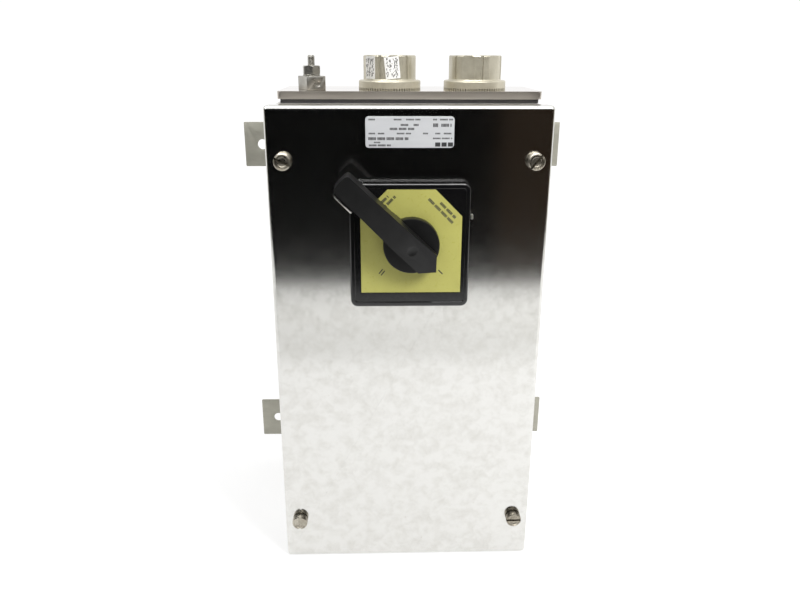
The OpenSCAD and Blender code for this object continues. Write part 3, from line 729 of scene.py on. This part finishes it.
cover = block("cover_tray", cover_low, cover_high)
open_up(cover)
pick("EDGE", lambda where, way: abs(way.y) > 0.99)
bpy.ops.mesh.bevel(offset=FOLD_R, segments=5, affect="EDGES")
pick("EDGE", lambda where, way: where.y < cover_low.y + 1e-5 and abs(way.y) < 0.01)
bpy.ops.mesh.bevel(offset=FOLD_R, segments=5, affect="EDGES")
pick("FACE", lambda where, way: way.y > 0.99)
bpy.ops.mesh.delete(type="FACE")
close_up()
work(cover, "SOLIDIFY", thickness=SHEET, offset=-1, use_even_offset=True)
screw_hole = [(0, -5), (SHANK_R, -5), (SHANK_R, 5), (0, 5)]
for x in SCREW_XS:
    for z in SCREW_ZS:
        cut(cover, lathe("hole", screw_hole, (x, FACE_Y, z), (0, 1, 0), 32, False))
cut(cover, lathe("hole", [(0, -5), (BUSH_R, -5), (BUSH_R, 5), (0, 5)], tuple(KNOB), (0, 1, 0), 48, False))
smooth(cover, 40)
steady(cover)
hand_in(cover, "cover", "stainless_sheet", cover_steel, "cover_shell")
dress("cover_gasket", gasket_rubber, 0.0006)

# ---- Cover screws ----
# Captive slotted screws turned from stainless bar, with a low domed face, a turned groove and a
# back collar. Each has stopped at its own angle, and they have tarnished brown.
screw_steel = finish("screw_steel", (0.50, 0.47, 0.40), (0.26, 0.23, 0.18), 1.0, 0.30, 420, 0.20,
                     spread=0.10)
screw_profile = [(0, -29), (2.2, -29), (SHANK_R, -28), (SHANK_R, 0), (4.9, 0), (4.9, 1.2), (6.2, 1.2),
                 (6.5, 1.5), (6.5, 2.9), (6.2, 3.1), (6.0, 3.3), (6.0, 3.7), (6.2, 3.9), (6.5, 4.1),
                 (6.5, 5.4), (6.35, 5.9), (6.0, 6.25), (5.6, 6.4), (5.2, 6.25), (5.0, 5.9),
                 (3.6, 6.1), (3.3, 5.9), (1.8, 6.2), (0, 6.3)]
screw = lathe("cover_screw", screw_profile, (0, 0, 0), (0, -1, 0), 56, False)
cut(screw, block("slot", (-0.009, -0.0069, -0.0009), (0.009, -0.0044, 0.0009)))
smooth(screw, 28)
screws = []
for x, z, turned in ((SCREW_XS[0], SCREW_ZS[0], 25), (SCREW_XS[1], SCREW_ZS[0], -50),
                     (SCREW_XS[0], SCREW_ZS[1], 90), (SCREW_XS[1], SCREW_ZS[1], 0)):
    twin = copy_of(screw, "screw")
    twin.rotation_euler.y = math.radians(turned)
    twin.location = (x, FACE_Y, z)
    settle(twin)
    screws.append(twin)
bpy.data.objects.remove(screw)
captive_screws = join(screws, "captive_screws")
hand_in(captive_screws, "cover", "machined_steel", screw_steel, "cover_screws")
black_nylon = finish("black_nylon", (0.018, 0.018, 0.019), (0.030, 0.030, 0.030), 0.0, 0.42, 800, 0.12)
dress("screw_retainers", black_nylon, 0.0002)

# ---- Nameplate ----
# A thin satin aluminium plate with round corners, glued above the switch. Its printed rows are
# plain bars here.
plate_low, plate_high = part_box("nameplate")
plate_mid = (plate_low + plate_high) / 2
PRINT_PITCH = 0.95  # millimetres from one printed block to the next
label_metal = finish("label_metal", (0.70, 0.71, 0.725), (0.64, 0.65, 0.665), 0.15, 0.40, 300, 0.04,
                     (0.4, 1, 3))
label_ink = finish("label_ink", (0.030, 0.030, 0.032), (0.055, 0.055, 0.055), 0.0, 0.50, 900, 0.05)
dress("nameplate", label_metal, 0.0002)


def print_row(centre, length, height, turned, pitch):
    """Prints a row of small blocks, like one worn line of print; sizes in millimetres."""
    pieces = []
    count = max(1, int(length / pitch))
    for i in range(count):
        if count > 6 and i % 7 == 6:
            continue
        bar = block("print", (-pitch * 0.36 / 1000, -0.00006, -height / 2000),
                    (pitch * 0.36 / 1000, 0.0001, height / 2000))
        shift = (i - (count - 1) / 2) * pitch / 1000
        bar.rotation_euler.y = math.radians(turned)
        bar.location = (centre[0] + shift * math.cos(math.radians(turned)), centre[1],
                        centre[2] - shift * math.sin(math.radians(turned)))
        settle(bar)
        pieces.append(bar)
    return pieces


rows = []
for x, z, length, height in ((-27.8, 9.0, 4.8, 1.1), (-9, 9.0, 6, 1.1), (2.4, 9.0, 10.5, 1.1),
                             (18.2, 9.0, 3.6, 1.1), (26.6, 9.0, 9.6, 1.1), (-4, 5.2, 6, 1.5),
                             (4.5, 5.2, 4, 1.5), (18.7, 5.0, 3.8, 2.6), (26.6, 5.0, 8, 2.2),
                             (-5.8, 2.4, 18.5, 1.6), (-27.8, -0.9, 4.8, 1.1), (-21, -0.9, 5.6, 1.1),
                             (-4.4, -0.9, 10.5, 1.1), (11.4, -0.9, 4.2, 1.1), (20.4, -0.9, 4.2, 1.1),
                             (27.6, -0.9, 6.4, 1.1), (-15.7, -4.6, 30, 2.0), (24, -4.4, 15, 1.1),
                             (-24, -7.3, 5, 1.0), (-22, -9.4, 16.5, 1.3)):
    row_at = (plate_mid.x + x / 1000, plate_low.y, plate_mid.z + z / 1000)
    rows += print_row(row_at, length, height, 0, PRINT_PITCH)
for x in (20.5, 25.2, 29.9):
    rows += print_row((plate_mid.x + x / 1000, plate_low.y, plate_mid.z - 0.0088), 3.6, 3.0, 0, 5.2)
nameplate_print = join(rows, "nameplate_print")
hand_in(nameplate_print, "cover", "black_plastic", label_ink)

# ---- Switch bezel ----
# A moulded black frame on a thin gasket, screwed from inside the cover. A low lip runs round its
# foot, and its face has a shallow seat for the legend plate with the two upper corners cut.
BEZEL_HALF_W = 0.0455
BEZEL_HALF_H = 0.048
BEZEL_X = KNOB.x - 0.001
BEZEL_Z = KNOB.z - 0.0023
moulded_black = finish("moulded_black", (0.004, 0.004, 0.0045), (0.007, 0.007, 0.007), 0.0, 0.13, 300, 0.01,
                       spread=0.04)


def out(n):
    """Gives the Y of a height in millimetres outwards from the cover's face."""
    return FACE_Y - n / 1000


bezel = block("bezel_frame", (BEZEL_X - BEZEL_HALF_W, out(2.2), BEZEL_Z - BEZEL_HALF_H),
              (BEZEL_X + BEZEL_HALF_W, out(1), BEZEL_Z + BEZEL_HALF_H))
open_up(bezel)
pick("EDGE", lambda where, way: abs(way.y) > 0.99)
bpy.ops.mesh.bevel(offset=0.006, segments=7, affect="EDGES")
pick("FACE", lambda where, way: way.y < -0.99)
bpy.ops.mesh.inset(thickness=0.0007)
bpy.ops.mesh.extrude_region_move(TRANSFORM_OT_translate={"value": (0, -0.0128, 0)})
pick("EDGE", lambda where, way: where.y < out(14.9) and abs(way.y) < 0.01)
bpy.ops.mesh.bevel(offset=0.0015, segments=5, affect="EDGES")
pick("FACE", lambda where, way: way.y < -0.99 and where.y < out(14.9))
bpy.ops.mesh.inset(thickness=0.0020)
bpy.ops.mesh.extrude_region_move(TRANSFORM_OT_translate={"value": (0, 0.0004, 0)})
bpy.ops.mesh.inset(thickness=0.0006)
close_up()
legend_low, legend_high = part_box("legend_plate")
seat = block("seat", (legend_low.x - 0.0003, out(15.5), legend_low.z - 0.0003),
             (legend_high.x + 0.0003, out(13.8), legend_high.z + 0.0003))
open_up(seat)
pick("EDGE", lambda where, way: abs(way.y) > 0.99 and where.z > BEZEL_Z)
bpy.ops.mesh.bevel(offset=0.020, segments=1, affect="EDGES")
close_up()
bush_hole = [(0, -30), (BUSH_R, -30), (BUSH_R, 5), (0, 5)]
cut(bezel, seat, lathe("hole", bush_hole, tuple(KNOB), (0, 1, 0), 48, False))
ease(bezel, 0.0004, 3, 35)
steady(bezel)
moulded_black.node_tree.nodes["Principled BSDF"].inputs["Specular IOR Level"].default_value = 0.7
hand_in(bezel, "cover", "black_plastic", moulded_black, "switch_bezel")
dress("bezel_gasket", gasket_rubber, 0.0003)
dress("bezel_screws", turned_steel, 0.0003)
dress("bezel_lug", turned_steel, 0.0005)
dress("shaft_bush", moulded_black, 0.0003)
dress("bush_nut", turned_steel, 0.0005)

# ---- Legend plate ----
# Thin aluminium lacquered yellow, with its two upper corners cut off. Each position has a printed
# mark, I and II, and rows of plain bars run along the cut corners.
legend_yellow = finish("legend_lacquer", (0.50, 0.485, 0.135), (0.46, 0.44, 0.120), 0.0, 0.32, 420, 0.04)
dress("legend_plate", legend_yellow, 0.0002)


def mark(across, up, length, width, turned):
    """Prints one bar on the legend plate: place from the switch axis and sizes in millimetres."""
    bar = block("mark", (-length / 2000, -0.00006, -width / 2000), (length / 2000, 0.0001, width / 2000))
    bar.rotation_euler.y = math.radians(turned)
    bar.location = (KNOB.x + across / 1000, legend_low.y, KNOB.z + up / 1000)
    settle(bar)
    return bar


marks = []
for across, up, length in ((21.7, 24.9, 26), (27.0, 25.4, 17), (-19.6, 28.2, 22), (-22.2, 31.0, 15)):
    row_at = (KNOB.x + across / 1000, legend_low.y, KNOB.z + up / 1000)
    marks += print_row(row_at, length, 2.1, math.copysign(45, across), PRINT_PITCH)
marks.append(mark(22.4, -22.0, 4.6, 0.8, 45))
for shift in (-1.0, 1.0):
    marks.append(mark(-22.0 + shift * 0.8, -22.0 - shift * 0.6, 4.6, 0.8, -52))
legend_print = join(marks, "legend_print")
hand_in(legend_print, "cover", "black_plastic", label_ink)

# ---- Handle ----
# A moulded black lever on a round disc. The bar's face slopes down to a pointed nose, with a
# shallow dish near the axis. Its far end is hollow underneath and slotted for the padlock clip.
handle_black = finish("handle_black", (0.006, 0.006, 0.0062), (0.010, 0.010, 0.0098), 0.0, 0.36, 500, 0.06,
                      spread=0.05)
LEVER_TURN = math.radians(45)
REACH = 0.072
BAR_HALF_W = 0.0095
bar = block("handle_bar", (-REACH, out(46), -BAR_HALF_W), (0.0255, out(18), BAR_HALF_W))
open_up(bar)
pick("EDGE", lambda where, way: abs(way.y) > 0.99 and where.x > 0)
bpy.ops.mesh.bevel(offset=0.0094, segments=1, affect="EDGES")
for at, slope in (((-REACH, out(44), 0), (0.0833, -1, 0)), ((-0.012, out(39), 0), (0.267, -1, 0)),
                  ((0.016, 0, BAR_HALF_W), (-0.0247, 0, 1)), ((0.016, 0, -BAR_HALF_W), (-0.0247, 0, -1))):
    bpy.ops.mesh.select_all(action="SELECT")
    bpy.ops.mesh.bisect(plane_co=at, plane_no=slope, use_fill=True, clear_outer=True)
bpy.ops.mesh.select_all(action="SELECT")
bpy.ops.mesh.normals_make_consistent(inside=False)
close_up()
sweep = lathe("sweep", [(0, 10), (72, 10), (72, 50), (0, 50)], (0, FACE_Y, 0), (0, -1, 0), 180, False)
work(bar, "BOOLEAN", operation="INTERSECT", solver="EXACT", object=sweep)
bpy.data.objects.remove(sweep)
hollow = block("hollow", (-0.08, out(23), -0.02), (-0.029, out(10), 0.02))
open_up(hollow)
pick("EDGE", lambda where, way: where.y > out(11) and where.x > -0.03 and abs(way.z) > 0.9)
bpy.ops.transform.translate(value=(0.0208, 0, 0))
close_up()
bpy.ops.object.select_all(action="DESELECT")
bpy.ops.mesh.primitive_uv_sphere_add(segments=64, ring_count=48, radius=0.012,
                                     location=(0.003, out(46.6), 0))
cut(bar, hollow, bpy.context.object)
open_up(bar)
pick("EDGE", lambda where, way: abs(way.y) > 0.99 and where.x < -0.06 and abs(where.z) > 0.006)
bpy.ops.mesh.bevel(offset=0.0025, segments=5, affect="EDGES")
close_up()
work(bar, "BEVEL", width=0.0008, segments=3, limit_method="ANGLE", angle_limit=math.radians(30))
disc_profile = [(0, 15.3), (20.6, 15.3), (21.0, 15.7), (21.0, 21.0), (20.6, 22.0), (19.6, 22.5), (0, 22.5)]
disc = lathe("handle_disc", disc_profile, (0, FACE_Y, 0), (0, -1, 0), 96, False)
for piece in (bar, disc):
    cut(piece, lathe("hole", [(0, 10), (6, 10), (6, 30), (0, 30)], (0, FACE_Y, 0), (0, -1, 0), 40, False))
cut(bar, block("slot", (-0.0684, out(32.4), -0.0105), (-0.0496, out(25.6), 0.0045)))
bar = join([bar, disc], "handle_bar")
smooth(bar, 30)
steady(bar)
bar.rotation_euler.y = LEVER_TURN
bar.location = (KNOB.x, 0, KNOB.z)
settle(bar)
handle_black.node_tree.nodes["Principled BSDF"].inputs["Specular IOR Level"].default_value = 0.3
hand_in(bar, "handle", "black_plastic", handle_black, "handle_lever")
dress("handle_shaft", turned_steel, 0.0003)

# ---- Padlock clip ----
# A hairpin of stainless strip in the lever's slot. It pulls out past the lever so that a padlock
# can pass through its loop.
clip_steel = finish("clip_steel", (0.80, 0.79, 0.75), (0.66, 0.64, 0.58), 1.0, 0.24, 500, 0.10)
CURL_X = -65.4  # millimetres along the lever, where the strip curls back
path = [(-50.0, -11.55), (-58.0, -11.55), (CURL_X, -11.55)]
for i in range(1, 8):
    a = math.radians(-90 - 22.5 * i)
    path.append((CURL_X + 2.0 * math.cos(a), -9.55 + 2.0 * math.sin(a)))
path += [(CURL_X, -7.55), (-60.0, -7.55), (-55.0, -7.55)]
mesh = bpy.data.meshes.new("padlock_clip")
points = [Vector((u / 1000, out(n), v / 1000)) for u, v in path for n in (26, 32)]
faces = [(2 * i, 2 * i + 1, 2 * i + 3, 2 * i + 2) for i in range(len(path) - 1)]
mesh.from_pydata(points, [], faces)
clip = bpy.data.objects.new("padlock_clip", mesh)
bpy.context.scene.collection.objects.link(clip)
work(clip, "SOLIDIFY", thickness=0.0013, offset=0, use_even_offset=True)
ease(clip, 0.00025, 2, 50)
clip.rotation_euler.y = LEVER_TURN
clip.location = (KNOB.x, 0, KNOB.z)
settle(clip)
hand_in(clip, "lock_clip_body", "machined_steel", clip_steel, "lock_clip")
